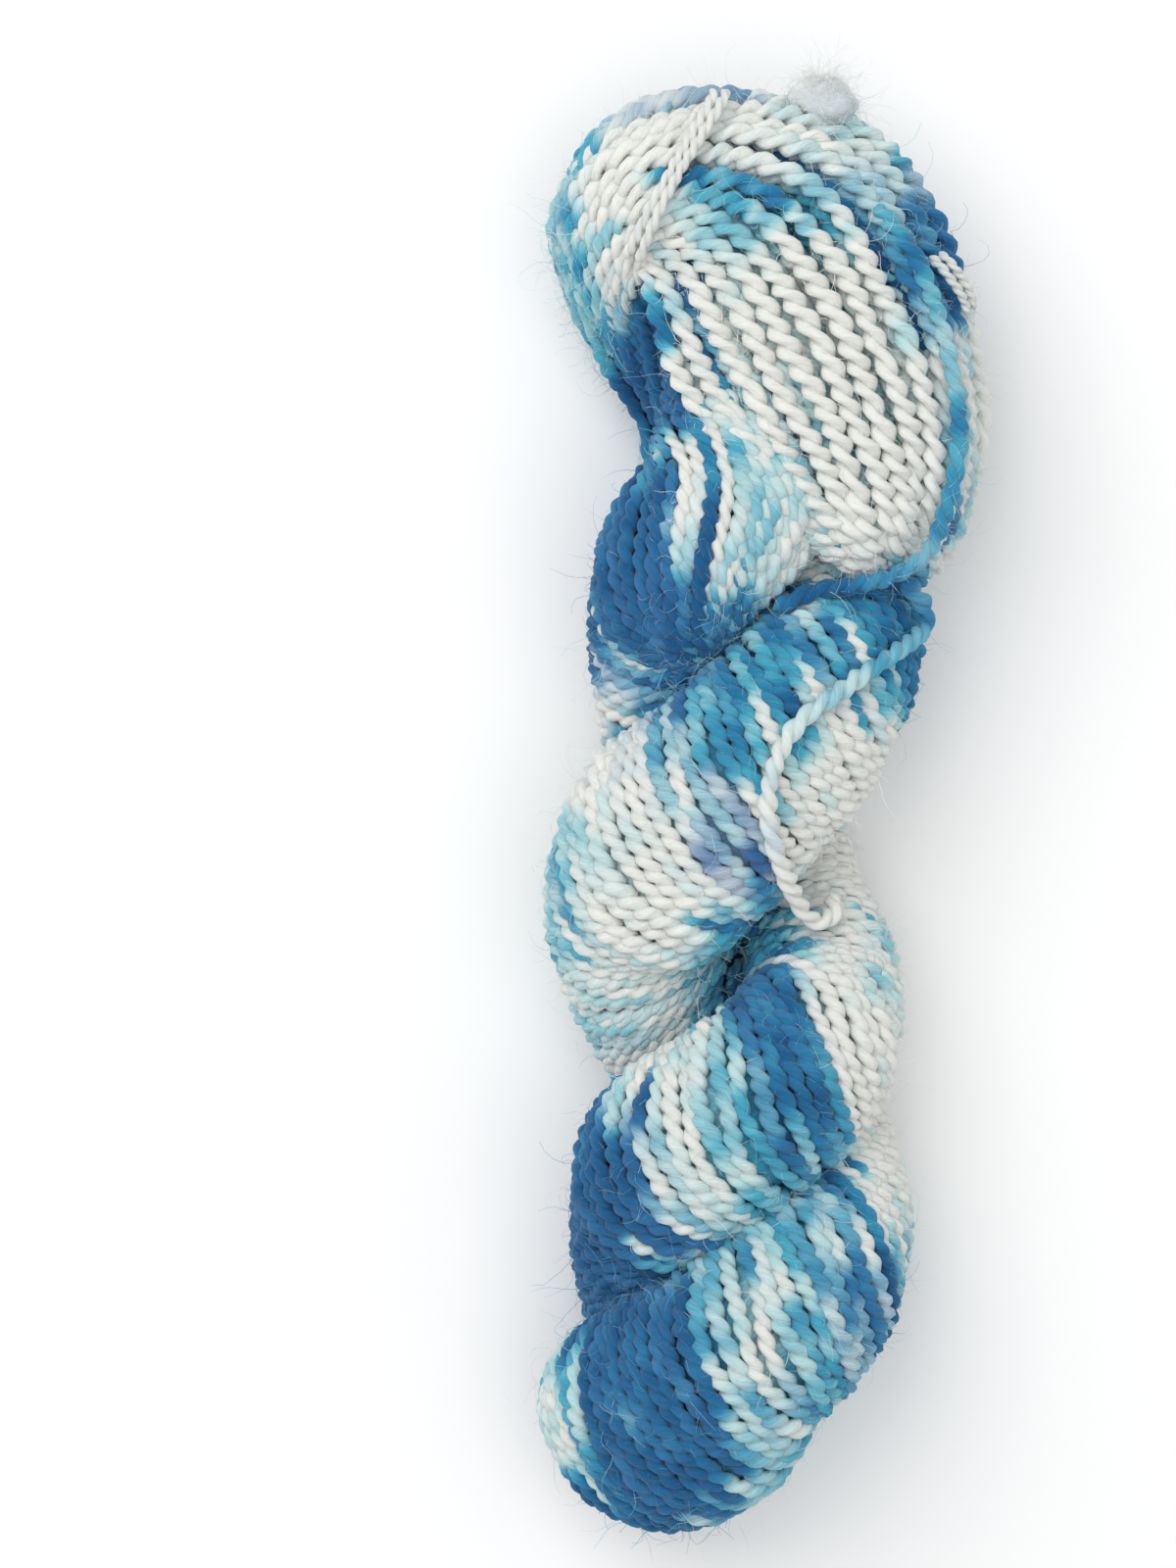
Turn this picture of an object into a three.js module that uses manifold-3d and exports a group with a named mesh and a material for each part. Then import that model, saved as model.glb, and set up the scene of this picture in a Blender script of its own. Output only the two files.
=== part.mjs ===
// A twisted skein of hand-dyed yarn lying on a surface, in millimetres, +Z up.
// The origin is on the surface, under the middle of the skein. +Y runs along it to its head, where the loop
// end spreads out as a fan, and -Y to its foot, where the wound loop is folded.
import * as THREE from 'three';
import { ParametricGeometry } from 'three/addons/geometries/ParametricGeometry.js';
import { mergeVertices } from 'three/addons/utils/BufferGeometryUtils.js';
import Module from 'manifold-3d';

// Driving dimensions
const AXIS_HEIGHT = 28; // the laid rope's axis above the surface
const FLATTEN = 0.82; // how far the skein's own weight flattens it
const BUNDLE_DEPTH = 18; // half of one bundle of yarn, towards the rope's axis
const BUNDLE_WIDTH = 21; // half of one bundle, across that
const LAY_RADIUS = 18; // from the rope's axis to the middle of a bundle
const CAP_LENGTH = 13; // how far a bundle's end takes to round off
const YARN = 3.5; // thickness of the yarn
const GAP = 0.3; // between two pieces that touch

const KNOT_AT = [12.5, 141.5, 40];
const KNOT_SIZE = [13, 12, 12];

// A band over the fan's bundle: its middle, the way it runs from +X in degrees, how long and how many strands
// wide it is, and how far down the skein's sides it reaches.
const TIE = { x: -19.7, y: 122, degrees: 63, span: 42, strands: 2, lowest: 34 };
const SIDE_TIE = { x: 38, y: 104, degrees: 20, span: 11, strands: 1.5, lowest: 34 };

const RINGS = 72; // sections along a bundle
const SIDES = 20; // corners of one section
const CORD_SIDES = 8;
const CORD_STEPS = 44;
const MERGE = 1e-3; // corners nearer than this are one
const ABOVE = 80; // over the whole skein
const GROUND = 400; // wider than the skein each way

// The middle of the loose end, from the notch below the head to the tip of its hook.
const LOOSE_ROUTE = [
  [28, 46, 47], [31, 43.2, 43], [33.2, 40.2, 39.5], [33.3, 37, 38.5], [31, 34.5, 41.5], [27.5, 32, 45.5],
  [24, 29.5, 49], [20, 27, 52], [16, 24, 54.5], [11.5, 21, 56.5], [7.2, 17.6, 58], [4.2, 13.6, 59.2],
  [2, 9, 59.8], [0.7, 4, 60], [0.6, -1.5, 59.5], [1.8, -7, 58], [4, -12.6, 54.5], [6.4, -17.4, 49],
  [8.8, -21.2, 44.5], [11.8, -22.8, 42], [14.4, -20.8, 40], [14, -17.2, 37.5],
];

// The rope's own line is not quite straight: [y, x].
const AXIS_LINE = [[-150, -6], [-110, -6], [-85, -4], [-55, -4], [-20, -7], [10, -5], [40, -2], [100, -2]];

function axisX(y) {
  const i = Math.max(1, AXIS_LINE.findIndex(([at]) => at >= y));
  const [[y0, x0], [y1, x1]] = [AXIS_LINE[i - 1], AXIS_LINE[i]];
  return x0 + (x1 - x0) * (y - y0) / (y1 - y0);
}

// A station of a bundle: its middle, the way its crown faces, and half its depth and width.
// Heights are from the rope's axis, before the skein is flattened.
function station(x, y, z, facing, depth, width) {
  const size = new THREE.Vector3(depth, width, 0);
  return { at: new THREE.Vector3(x, y, z), facing: new THREE.Vector3(...facing), size };
}

// A station where the bundle is laid round the rope, at an angle from the rope's top line.
function laid(y, degrees, depth = BUNDLE_DEPTH, width = BUNDLE_WIDTH) {
  const a = THREE.MathUtils.degToRad(degrees);
  const facing = [Math.sin(a), 0, Math.cos(a)];
  return station(axisX(y) + LAY_RADIUS * facing[0], y, LAY_RADIUS * facing[2], facing, depth, width);
}

// From the fold at the foot, round the rope, over the head as the fan and down behind the rope again.
const FAN_BUNDLE = [
  station(-18, -122, -13, [-0.5, -0.5, -0.8], 15, 18),
  station(-26, -128, -4, [-0.75, -0.65, -0.2], 16, 22),
  station(-22, -125, 6, [-0.6, -0.6, 0.7], 17, 25),
  station(-13, -118, 14, [-0.2, -0.2, 1], 18, 25),
  laid(-108, -350),
  laid(-97, -310),
  laid(-86, -268, 17, 20),
  laid(-70, -225),
  laid(-55, -180),
  laid(-37, -135),
  laid(-20, -90, 19),
  laid(-8, -45, 20, 24),
  laid(5, 0, 19, 22),
  laid(20, 45),
  laid(35, 90, 18, 19),
  laid(50, 135, 18, 18),
  laid(66, 180, 18, 19),
  station(-9, 85, -13, [-0.7, 0, -0.7], 17, 18),
  station(-20, 101, -6, [-1, -0.2, -0.1], 16, 16),
  station(-26, 111, 5, [-0.8, 0.1, 0.7], 13, 15),
  station(-22, 122, 14, [-0.2, 0.1, 1], 12, 20),
  station(-11, 122, 19, [0, 0, 1], 12, 24),
  station(1, 111, 22, [0, 0, 1], 12, 29),
  station(15, 89, 22, [0.1, 0, 1], 12, 29),
  station(23, 68, 19, [0.2, 0, 1], 12, 26),
  station(28, 57, 12, [0.4, -0.3, 0.8], 11, 19),
  station(27, 49, 0, [0.9, -0.5, 0.3], 11, 12),
  station(20, 44, -11, [0.6, -0.6, -0.5], 10, 11),
];

// From the same fold, round the rope half a turn away, up to its own end behind the fan.
const INNER_BUNDLE = [
  station(-20, -130, 0, [-0.6, -0.6, 0.2], 14, 15),
  station(-11, -125, -9, [-0.1, -0.5, -0.9], 16, 18),
  laid(-112, -540, 18, 19),
  laid(-97, -495),
  laid(-82, -450, 16.5, 19),
  laid(-71, -405, 19),
  laid(-61, -360, 18, 20),
  laid(-50, -315, 17, 20),
  laid(-38, -270, 17, 18),
  laid(-18, -225, 15, 17),
  laid(4, -180),
  laid(18, -135, 14, 17),
  station(-18, 38, 1, [-1, 0, 0.1], 17, 18),
  station(-15, 50, 11, [-0.7, 0, 0.7], 17, 19),
  station(-5, 64, 16, [-0.1, 0, 1], 17, 20),
  station(-1, 80, 12, [0.1, 0, 1], 16, 20),
  station(3, 96, 3, [0.3, 0.3, 0.9], 17, 24),
  station(8, 108, -8, [0.2, 0.7, 0.6], 17, 28),
  station(5, 119, -14, [0, 1, 0], 15, 24),
];

// A bundle swept through its stations, closed and rounded at both ends, and grown all round by an amount.
function bundle(stations, grown = 0) {
  const middle = new THREE.CatmullRomCurve3(stations.map((s) => s.at), false, 'centripetal');
  const facing = new THREE.CatmullRomCurve3(stations.map((s) => s.facing));
  const size = new THREE.CatmullRomCurve3(stations.map((s) => s.size));
  const length = middle.getLength();
  const surface = (v, u, target) => {
    const t = THREE.MathUtils.clamp(u, 0, 1);
    const along = middle.getTangent(t);
    const out = facing.getPoint(t).addScaledVector(along, -facing.getPoint(t).dot(along)).normalize();
    const across = new THREE.Vector3().crossVectors(along, out);
    const end = Math.min(t, 1 - t) * length / CAP_LENGTH;
    const round = end < 1 ? Math.sqrt(Math.max(0, end * (2 - end))) : 1;
    const { x: depth, y: width } = size.getPoint(t).addScalar(grown);
    const angle = 2 * Math.PI * v;
    target.copy(middle.getPoint(t));
    target.addScaledVector(out, round * depth * Math.cos(angle));
    target.addScaledVector(across, round * width * Math.sin(angle));
    target.z = AXIS_HEIGHT + FLATTEN * target.z;
  };
  return new ParametricGeometry(surface, SIDES, RINGS);
}

const wasm = await Module();
wasm.setup();

// A closed solid of a geometry, with its shared corners merged and its slivers dropped.
function solid(geometry) {
  const bare = new THREE.BufferGeometry();
  bare.setAttribute('position', geometry.getAttribute('position'));
  bare.setIndex(geometry.getIndex());
  const merged = mergeVertices(bare, MERGE);
  const index = Array.from(merged.getIndex().array);
  const kept = [];
  for (let i = 0; i < index.length; i += 3) {
    const [a, b, c] = index.slice(i, i + 3);
    if (a !== b && b !== c && c !== a) kept.push(a, b, c);
  }
  return new wasm.Manifold(new wasm.Mesh({
    numProp: 3,
    vertProperties: new Float32Array(merged.getAttribute('position').array),
    triVerts: new Uint32Array(kept),
  }));
}

function geometryOf(shape) {
  const mesh = shape.getMesh();
  const geometry = new THREE.BufferGeometry();
  geometry.setAttribute('position', new THREE.BufferAttribute(new Float32Array(mesh.vertProperties), 3));
  geometry.setIndex(Array.from(mesh.triVerts));
  geometry.computeVertexNormals();
  return geometry;
}

// Everything under the surface, which cuts the flat places that the skein rests on.
function underground() {
  const block = new THREE.BoxGeometry(GROUND, GROUND, ABOVE);
  block.translate(0, 0, -ABOVE / 2);
  return solid(block);
}

// The outer skin of a shape, with the pockets between its bundles filled.
function filled(shape) {
  return shape.decompose().reduce((a, b) => (a.volume() > b.volume() ? a : b));
}

// The whole skein, grown all round by an amount, before the surface cuts it.
function wound(grown = 0) {
  return filled(solid(bundle(FAN_BUNDLE, grown)).add(solid(bundle(INNER_BUNDLE, grown))));
}

function hank() {
  return geometryOf(filled(wound().subtract(underground())));
}

// Strands that lie tight over the fan's bundle, as wide as a box that stands across it.
function band({ x, y, degrees, span, strands, lowest }) {
  const box = new THREE.BoxGeometry(span, strands * YARN, ABOVE - lowest);
  box.rotateZ(THREE.MathUtils.degToRad(degrees));
  box.translate(x, y, (ABOVE + lowest) / 2);
  const over = solid(bundle(FAN_BUNDLE, GAP + YARN)).intersect(solid(box));
  return geometryOf(filled(over.subtract(wound(GAP))));
}

// The soft knot of unspun fibre that lies against the head's top edge.
function knot() {
  const lump = new THREE.SphereGeometry(1 / 2, 18, 12);
  lump.scale(...KNOT_SIZE);
  lump.translate(...KNOT_AT);
  return geometryOf(filled(solid(lump).subtract(wound(GAP))));
}

// The yarn's free end, from where it comes round the skein's right edge to its small hook.
function looseEnd() {
  const points = LOOSE_ROUTE.map((p) => new THREE.Vector3(...p));
  const route = new THREE.CatmullRomCurve3(points, false, 'centripetal');
  const section = new THREE.Shape();
  for (let i = 0; i < CORD_SIDES; i += 1) {
    const angle = 2 * Math.PI * i / CORD_SIDES;
    section[i ? 'lineTo' : 'moveTo'](YARN / 2 * Math.cos(angle), YARN / 2 * Math.sin(angle));
  }
  return new THREE.ExtrudeGeometry(section, { steps: CORD_STEPS, extrudePath: route, bevelEnabled: false });
}

const skein = new THREE.Group();

function add(name, geometry, colour, roughness) {
  const material = new THREE.MeshStandardMaterial({ color: colour, roughness, metalness: 0 });
  const mesh = new THREE.Mesh(geometry, material);
  mesh.name = name;
  skein.add(mesh);
}

add('hank', hank(), 0x8fc3d8, 0.95);
add('tie', band(TIE), 0xeeeae0, 0.95);
add('side_tie', band(SIDE_TIE), 0xd7e6e4, 0.95);
add('knot', knot(), 0xdfe3e8, 1);
add('loose_end', looseEnd(), 0x9fd6e0, 0.95);

export default skein;
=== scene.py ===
"""A twisted skein of hand-dyed two-ply yarn, lying on a pale table.

Lengths are in millimetres, and scaled as a mesh is made. Those of the lights and the finish are in metres.
"""

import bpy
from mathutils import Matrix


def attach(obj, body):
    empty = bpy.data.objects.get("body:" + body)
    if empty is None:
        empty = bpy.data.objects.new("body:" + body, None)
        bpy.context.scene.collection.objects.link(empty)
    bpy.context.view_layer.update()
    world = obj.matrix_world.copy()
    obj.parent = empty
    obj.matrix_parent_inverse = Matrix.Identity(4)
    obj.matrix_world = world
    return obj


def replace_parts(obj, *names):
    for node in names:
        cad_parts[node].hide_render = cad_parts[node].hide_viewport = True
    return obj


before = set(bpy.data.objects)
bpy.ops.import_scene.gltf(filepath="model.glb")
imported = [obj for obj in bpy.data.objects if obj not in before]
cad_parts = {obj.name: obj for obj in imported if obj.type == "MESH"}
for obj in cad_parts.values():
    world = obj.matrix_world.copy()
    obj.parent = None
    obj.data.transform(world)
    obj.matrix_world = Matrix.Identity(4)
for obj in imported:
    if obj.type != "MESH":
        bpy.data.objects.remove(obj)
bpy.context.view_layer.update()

from types import SimpleNamespace

import bpy
import numpy as np
from mathutils import Vector

MM = 0.001
rng = np.random.default_rng(12)

# ---------------------------------------------------------------- camera, light and table

VIEW_CENTRE = (-35, 5)
VIEW_HEIGHT = 320
CAMERA_HEIGHT = 930
MIDDLE_HEIGHT = 30
NEAREST = 10
LIGHTS_AIM = (0, 0, 0.02)


def camera():
    data = bpy.data.cameras.new("camera")
    data.sensor_fit = "VERTICAL"
    data.angle_y = 2 * np.arctan(VIEW_HEIGHT / 2 / (CAMERA_HEIGHT - MIDDLE_HEIGHT))
    data.clip_start = NEAREST * MM
    made = bpy.data.objects.new("camera", data)
    made.location = (VIEW_CENTRE[0] * MM, VIEW_CENTRE[1] * MM, CAMERA_HEIGHT * MM)
    bpy.context.scene.collection.objects.link(made)
    bpy.context.scene.camera = made


def soft_light(name, at, size, power):
    data = bpy.data.lights.new(name, "AREA")
    data.shape, data.size, data.energy = "DISK", size, power
    made = bpy.data.objects.new(name, data)
    made.location = at
    made.rotation_euler = (Vector(LIGHTS_AIM) - Vector(at)).to_track_quat("-Z", "Y").to_euler()
    bpy.context.scene.collection.objects.link(made)


camera()
soft_light("window", at=(-0.45, 0.5, 1.0), size=1.0, power=6)
soft_light("overhead", at=(0.15, -0.1, 1.3), size=1.4, power=5)
bpy.context.scene.view_settings.view_transform = "Standard"


# ---------------------------------------------------------------- finishes


class Value:
    """A socket of a finish, so that its maths reads as an expression."""

    def __init__(self, finish, socket):
        self.finish, self.socket = finish, socket

    def _with(self, operation, *sides):
        return self.finish.node("ShaderNodeMath", {"operation": operation}, dict(enumerate(sides)))

    def __add__(self, other):
        return self._with("ADD", self, other)

    def __sub__(self, other):
        return self._with("SUBTRACT", self, other)

    def __rsub__(self, other):
        return self._with("SUBTRACT", other, self)

    def __mul__(self, other):
        return self._with("MULTIPLY", self, other)

    def clamped(self):
        return self.finish.node("ShaderNodeClamp", {}, {0: self})

    __radd__ = __add__
    __rmul__ = __mul__


class Finish:
    """A node material: its nodes are made by one method."""

    def __init__(self, name, **sockets):
        self.material = bpy.data.materials.new(name)
        self.material.use_nodes = True
        self.tree = self.material.node_tree
        self.shader = self.tree.nodes["Principled BSDF"]
        for socket, value in sockets.items():
            self.shader.inputs[socket.replace("_", " ")].default_value = value

    def node(self, kind, settings, inputs, output=0):
        made = self.tree.nodes.new(kind)
        for name, value in settings.items():
            if name == "stops":
                ramp = made.color_ramp.elements
                while len(ramp) < len(value):
                    ramp.new(0.5)
                for stop, (at, colour) in zip(ramp, value):
                    stop.position, stop.color = at, (*colour, 1)
            else:
                setattr(made, name, value)
        for name, value in inputs.items():
            self.join(made.inputs[name], value)
        return Value(self, made.outputs[output])

    def join(self, socket, value):
        if isinstance(value, Value):
            self.tree.links.new(value.socket, socket)
        else:
            socket.default_value = value

    def held(self, name):
        """A number that the mesh holds at each of its points."""
        return self.node("ShaderNodeAttribute", {"attribute_name": name}, {}, "Fac")

    def mixed(self, share, first, second, blend="MIX"):
        settings = {"data_type": "RGBA", "blend_type": blend, "clamp_factor": True}
        return self.node("ShaderNodeMix", settings, {0: share, 6: first, 7: second}, 2)

    def surface(self, **links):
        for name, value in links.items():
            self.join(self.shader.inputs[name.replace("_", " ")], value)


def linear(*colour):
    """The light that a colour sends back, from its red, green and blue as the eye reads them."""
    return tuple(((c + 0.055) / 1.055) ** 2.4 if c > 0.04 else c / 12.92 for c in colour)


CREAM = linear(0.93, 0.935, 0.915)
PALE_AQUA = linear(0.74, 0.88, 0.89)
TURQUOISE = linear(0.3, 0.7, 0.8)
CERULEAN = linear(0.12, 0.5, 0.68)
DEEP_BLUE = linear(0.07, 0.36, 0.56)
PERIWINKLE = linear(0.24, 0.44, 0.66)
LAVENDER = linear(0.8, 0.84, 0.88)
AQUA_DYE = [(0.1, CREAM), (0.3, PALE_AQUA), (0.52, TURQUOISE), (0.76, CERULEAN), (1, DEEP_BLUE)]
VIOLET_DYE = [(0.1, CREAM), (0.32, LAVENDER), (0.68, PERIWINKLE), (1, DEEP_BLUE)]
# How much the fibres, the finest of them and wider blots change the dye.
FIBRES_IN_DYE = 0.24
FINE_IN_DYE = 0.2
BLOTS_IN_DYE = 0.2
# How light the darkest fibres are, what lighter ones add, and how much painted shade the groove between the
# plies takes.
DARKEST = 0.73
FIBRES_IN_SHADE = 0.3
FINE_IN_SHADE = 0.36
GROOVE_PAINTED_SHADE = 0.16
STRANDS_APART = 40


def yarn_finish(name):
    """Dyed wool: streaks run along the fibres of each ply, and painted shade darkens the groove between the
    plies.
    """
    finish = Finish(
        name, Roughness=0.92, Sheen_Weight=0.15, Sheen_Roughness=0.5, Specular_IOR_Level=0.2,
        Subsurface_Weight=0.25, Subsurface_Radius=(1, 0.9, 0.85), Subsurface_Scale=0.0012,
    )
    along, strand = finish.held("along"), finish.held("strand")
    ply_x, ply_y = finish.held("ply_x"), finish.held("ply_y")

    def noise(stretch, turn, **sockets):
        """A noise that is stretched along the yarn, follows its plies and differs from strand to strand."""
        sides = {0: along * stretch, 1: ply_x * turn, 2: ply_y * turn + strand * STRANDS_APART}
        place = finish.node("ShaderNodeCombineXYZ", {}, sides)
        return finish.node("ShaderNodeTexNoise", {}, {"Vector": place, **sockets})

    fibres = noise(0.22, 2.6, Scale=1.6, Detail=3.0)
    fine = noise(0.5, 7.0, Scale=1.8, Detail=3.0)
    blots = noise(0.12, 0.4, Scale=1.0, Detail=2.0)
    streaks = (fibres - 0.5) * FIBRES_IN_DYE + (fine - 0.5) * FINE_IN_DYE + (blots - 0.5) * BLOTS_IN_DYE
    dye = (finish.held("dye") + streaks).clamped()
    aqua_side = finish.node("ShaderNodeValToRGB", {"stops": AQUA_DYE}, {0: dye})
    blue_side = finish.node("ShaderNodeValToRGB", {"stops": VIOLET_DYE}, {0: dye})
    dyed = finish.mixed(finish.held("tone").clamped(), aqua_side, blue_side)
    # Painted shade in the groove between the plies: the colour darkens where the outline turns into the
    # groove.
    hollow = ply_y * ply_y * ply_y * ply_y
    groove = hollow * hollow * GROOVE_PAINTED_SHADE
    shade = (fibres * FIBRES_IN_SHADE + fine * FINE_IN_SHADE + DARKEST - groove).clamped()
    grey = finish.node("ShaderNodeCombineColor", {}, {0: shade, 1: shade, 2: shade})
    colour = finish.mixed(1.0, dyed, grey, "MULTIPLY")
    ridges = {"Strength": 0.7, "Distance": 0.0006, "Height": fibres + fine * 0.7}
    relief = finish.node("ShaderNodeBump", {}, ridges, "Normal")
    finish.surface(Base_Color=colour, Normal=relief)
    return finish.material


table = Finish("pale_table", Base_Color=(0.93, 0.93, 0.93, 1))
table_grain = table.node("ShaderNodeTexNoise", {}, {"Scale": 60.0, "Detail": 3.0})
table.surface(Roughness=table_grain * 0.1 + 0.75)

ROOM_LIGHT = 0.62
world = bpy.data.worlds.new("room")
world.use_nodes = True
background = world.node_tree.nodes["Background"]
background.inputs["Color"].default_value = (1, 1, 1, 1)
background.inputs["Strength"].default_value = ROOM_LIGHT
bpy.context.scene.world = world

yarn = yarn_finish("dyed_yarn")

# ---------------------------------------------------------------- lines and bundles

SAME_PLACE = 1e-4


def curve(points, t):
    """A smooth line through points, at t from 0 to 1, each gap between points having an equal share of t."""
    p = np.asarray(points, float)
    p = np.vstack([2 * p[0] - p[1], p, 2 * p[-1] - p[-2]])
    at = np.clip(t, 0, 1) * (len(p) - 3)
    i = np.minimum(at.astype(int), len(p) - 4)
    w = (at - i)[:, None]
    a, b, c, d = (p[i + k] for k in range(4))
    gaps = [np.sqrt(np.linalg.norm(y - x, axis=1, keepdims=True)) for x, y in ((a, b), (b, c), (c, d))]
    d1 = np.where(gaps[1] < SAME_PLACE, 1, gaps[1])
    d0, d2 = (np.where(g < SAME_PLACE, d1, g) for g in (gaps[0], gaps[2]))
    leave = ((b - a) / d0 - (c - a) / (d0 + d1) + (c - b) / d1) * d1
    reach = ((c - b) / d1 - (d - b) / (d1 + d2) + (d - c) / d2) * d1
    bend = 3 * (c - b) - 2 * leave - reach
    return b + leave * w + bend * w**2 + (2 * (b - c) + leave + reach) * w**3


def unit(v):
    return v / np.maximum(np.linalg.norm(v, axis=-1, keepdims=True), 1e-12)


def lengths(line):
    """How far along a line each of its points is."""
    return np.concatenate([[0], np.cumsum(np.linalg.norm(np.diff(line, axis=0), axis=1))])


def at_lengths(line, measured, wanted):
    """What a line's rows come to at wanted lengths along it."""
    return np.stack([np.interp(wanted, measured, line[:, k]) for k in range(line.shape[1])], axis=1)


AXIS_HEIGHT = 28
FLATTEN = 0.82
LAY_RADIUS = 18
CAP_LENGTH = 13
BUNDLE_POINTS = 2401
LEAST_SIZE = 0.5
# The axis that the two bundles wind round, seen from above.
AXIS_LINE = [(-150, -6), (-110, -6), (-85, -4), (-55, -4), (-20, -7), (10, -5), (40, -2), (100, -2)]


def station(x, y, z, facing, depth, width):
    """A place on a bundle's middle, the way its crown faces, and its reach that way and to each side."""
    return (x, y, z, *facing, depth, width)


def laid(y, degrees, depth=18, width=21):
    """A station where the bundle winds round the axis: how far it has turned from the top."""
    a = np.radians(degrees)
    x = np.interp(y, *zip(*AXIS_LINE))
    out_x, out_z = np.sin(a), np.cos(a)
    return station(x + LAY_RADIUS * out_x, y, LAY_RADIUS * out_z, (out_x, 0, out_z), depth, width)


FAN_BUNDLE = [
    station(-18, -122, -13, (-0.5, -0.5, -0.8), 15, 18),
    station(-26, -128, -4, (-0.75, -0.65, -0.2), 16, 22),
    station(-22, -125, 6, (-0.6, -0.6, 0.7), 17, 25),
    station(-13, -118, 14, (-0.2, -0.2, 1), 18, 25),
    laid(-108, -350),
    laid(-97, -310),
    laid(-86, -268, 17, 20),
    laid(-70, -225),
    laid(-55, -180),
    laid(-37, -135),
    laid(-20, -90, 19),
    laid(-8, -45, 20, 24),
    laid(5, 0, 19, 22),
    laid(20, 45),
    laid(35, 90, 18, 19),
    laid(50, 135, 18, 18),
    laid(66, 180, 18, 19),
    station(-9, 85, -13, (-0.7, 0, -0.7), 17, 18),
    station(-20, 101, -6, (-1, -0.2, -0.1), 16, 16),
    station(-26, 111, 5, (-0.8, 0.1, 0.7), 13, 15),
    station(-22, 122, 14, (-0.2, 0.1, 1), 12, 20),
    station(-11, 122, 19, (0, 0, 1), 12, 24),
    station(1, 111, 22, (0, 0, 1), 12, 29),
    station(15, 89, 22, (0.1, 0, 1), 12, 29),
    station(23, 68, 19, (0.2, 0, 1), 12, 26),
    station(28, 57, 12, (0.4, -0.3, 0.8), 11, 19),
    station(27, 49, 0, (0.9, -0.5, 0.3), 11, 12),
    station(20, 44, -11, (0.6, -0.6, -0.5), 10, 11),
]
INNER_BUNDLE = [
    station(-20, -130, 0, (-0.6, -0.6, 0.2), 14, 15),
    station(-11, -125, -9, (-0.1, -0.5, -0.9), 16, 18),
    laid(-112, -540, 18, 19),
    laid(-97, -495),
    laid(-82, -450, 16.5, 19),
    laid(-71, -405, 19),
    laid(-61, -360, 18, 20),
    laid(-50, -315, 17, 20),
    laid(-38, -270, 17, 18),
    laid(-18, -225, 15, 17),
    laid(4, -180),
    laid(18, -135, 14, 17),
    station(-18, 38, 1, (-1, 0, 0.1), 17, 18),
    station(-15, 50, 11, (-0.7, 0, 0.7), 17, 19),
    station(-5, 64, 16, (-0.1, 0, 1), 17, 20),
    station(-1, 80, 12, (0.1, 0, 1), 16, 20),
    station(3, 96, 3, (0.3, 0.3, 0.9), 17, 24),
    station(8, 108, -8, (0.2, 0.7, 0.6), 17, 28),
    station(5, 119, -14, (0, 1, 0), 15, 24),
]


# The slices that tell how deep a point is: how far apart they are, and how far each reaches along the bundle.
SLICE = 3
SLICE_REACH = 2.2
OUTSIDE = 9
OWN_PART = 60


class Bundle:
    """Many turns of yarn, gathered round a line. Angles go round it from its crown, and lengths along it."""

    def __init__(self, stations):
        rows = np.array(stations, float)
        t = np.linspace(0, 1, BUNDLE_POINTS)
        middle = curve(rows[:, :3], t)
        along = unit(np.gradient(middle, axis=0))
        facing = curve(rows[:, 3:6], t)
        out = unit(facing - (facing * along).sum(1, keepdims=True) * along)
        self.measured = lengths(middle)
        self.length = self.measured[-1]
        self.rows = np.hstack([middle, along, out, np.cross(along, out), curve(rows[:, 6:8], t)])
        self.stations = self.measured[np.round(np.linspace(0, len(t) - 1, len(rows))).astype(int)]

    def frame(self, s):
        """Its middle, the ways along, out and across, and its depth and width, at lengths along it."""
        r = at_lengths(self.rows, self.measured, s)
        end = np.minimum(s, self.length - s) / CAP_LENGTH
        cap = np.sqrt(np.clip(end * (2 - end), 0, 1)) * (end > 0)
        cap[end >= 1] = 1
        return r[:, :3], unit(r[:, 3:6]), unit(r[:, 6:9]), unit(r[:, 9:12]), r[:, 12] * cap, r[:, 13] * cap

    def skin(self, s, angle, sunk=0):
        """Points under the bundle's skin and the way out of it, before the skein's weight flattens it."""
        middle, _, out, across, depth, width = self.frame(s)
        c, w = np.cos(angle)[:, None], np.sin(angle)[:, None]
        depth, width = (np.maximum(size - sunk, LEAST_SIZE)[:, None] for size in (depth, width))
        return middle + out * depth * c + across * width * w, unit(out * c / depth + across * w / width)

    def buried(self, points, near=None):
        """How deep points are inside the bundle, leaving out the part near their own lengths along it."""
        s = np.arange(SLICE / 2, self.length, SLICE)
        middle, along, out, across, depth, width = self.frame(s)
        offset = points[:, None, :] - middle[None]
        share_out = (offset * out).sum(2) / np.maximum(depth, 1)
        share_across = (offset * across).sum(2) / np.maximum(width, 1)
        level = np.sqrt(share_out**2 + share_across**2)
        level[np.abs((offset * along).sum(2)) > SLICE_REACH] = OUTSIDE
        if near is not None:
            level[np.abs(near[:, None] - s[None]) < OWN_PART] = OUTSIDE
        return ((1 - level) * np.minimum(depth, width)).max(1)


def settle(points):
    """Where points come to when the skein's weight flattens it on the table."""
    return points * (1, 1, FLATTEN) + (0, 0, AXIS_HEIGHT)


fan_bundle, inner_bundle = Bundle(FAN_BUNDLE), Bundle(INNER_BUNDLE)

# ---------------------------------------------------------------- dye

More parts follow.
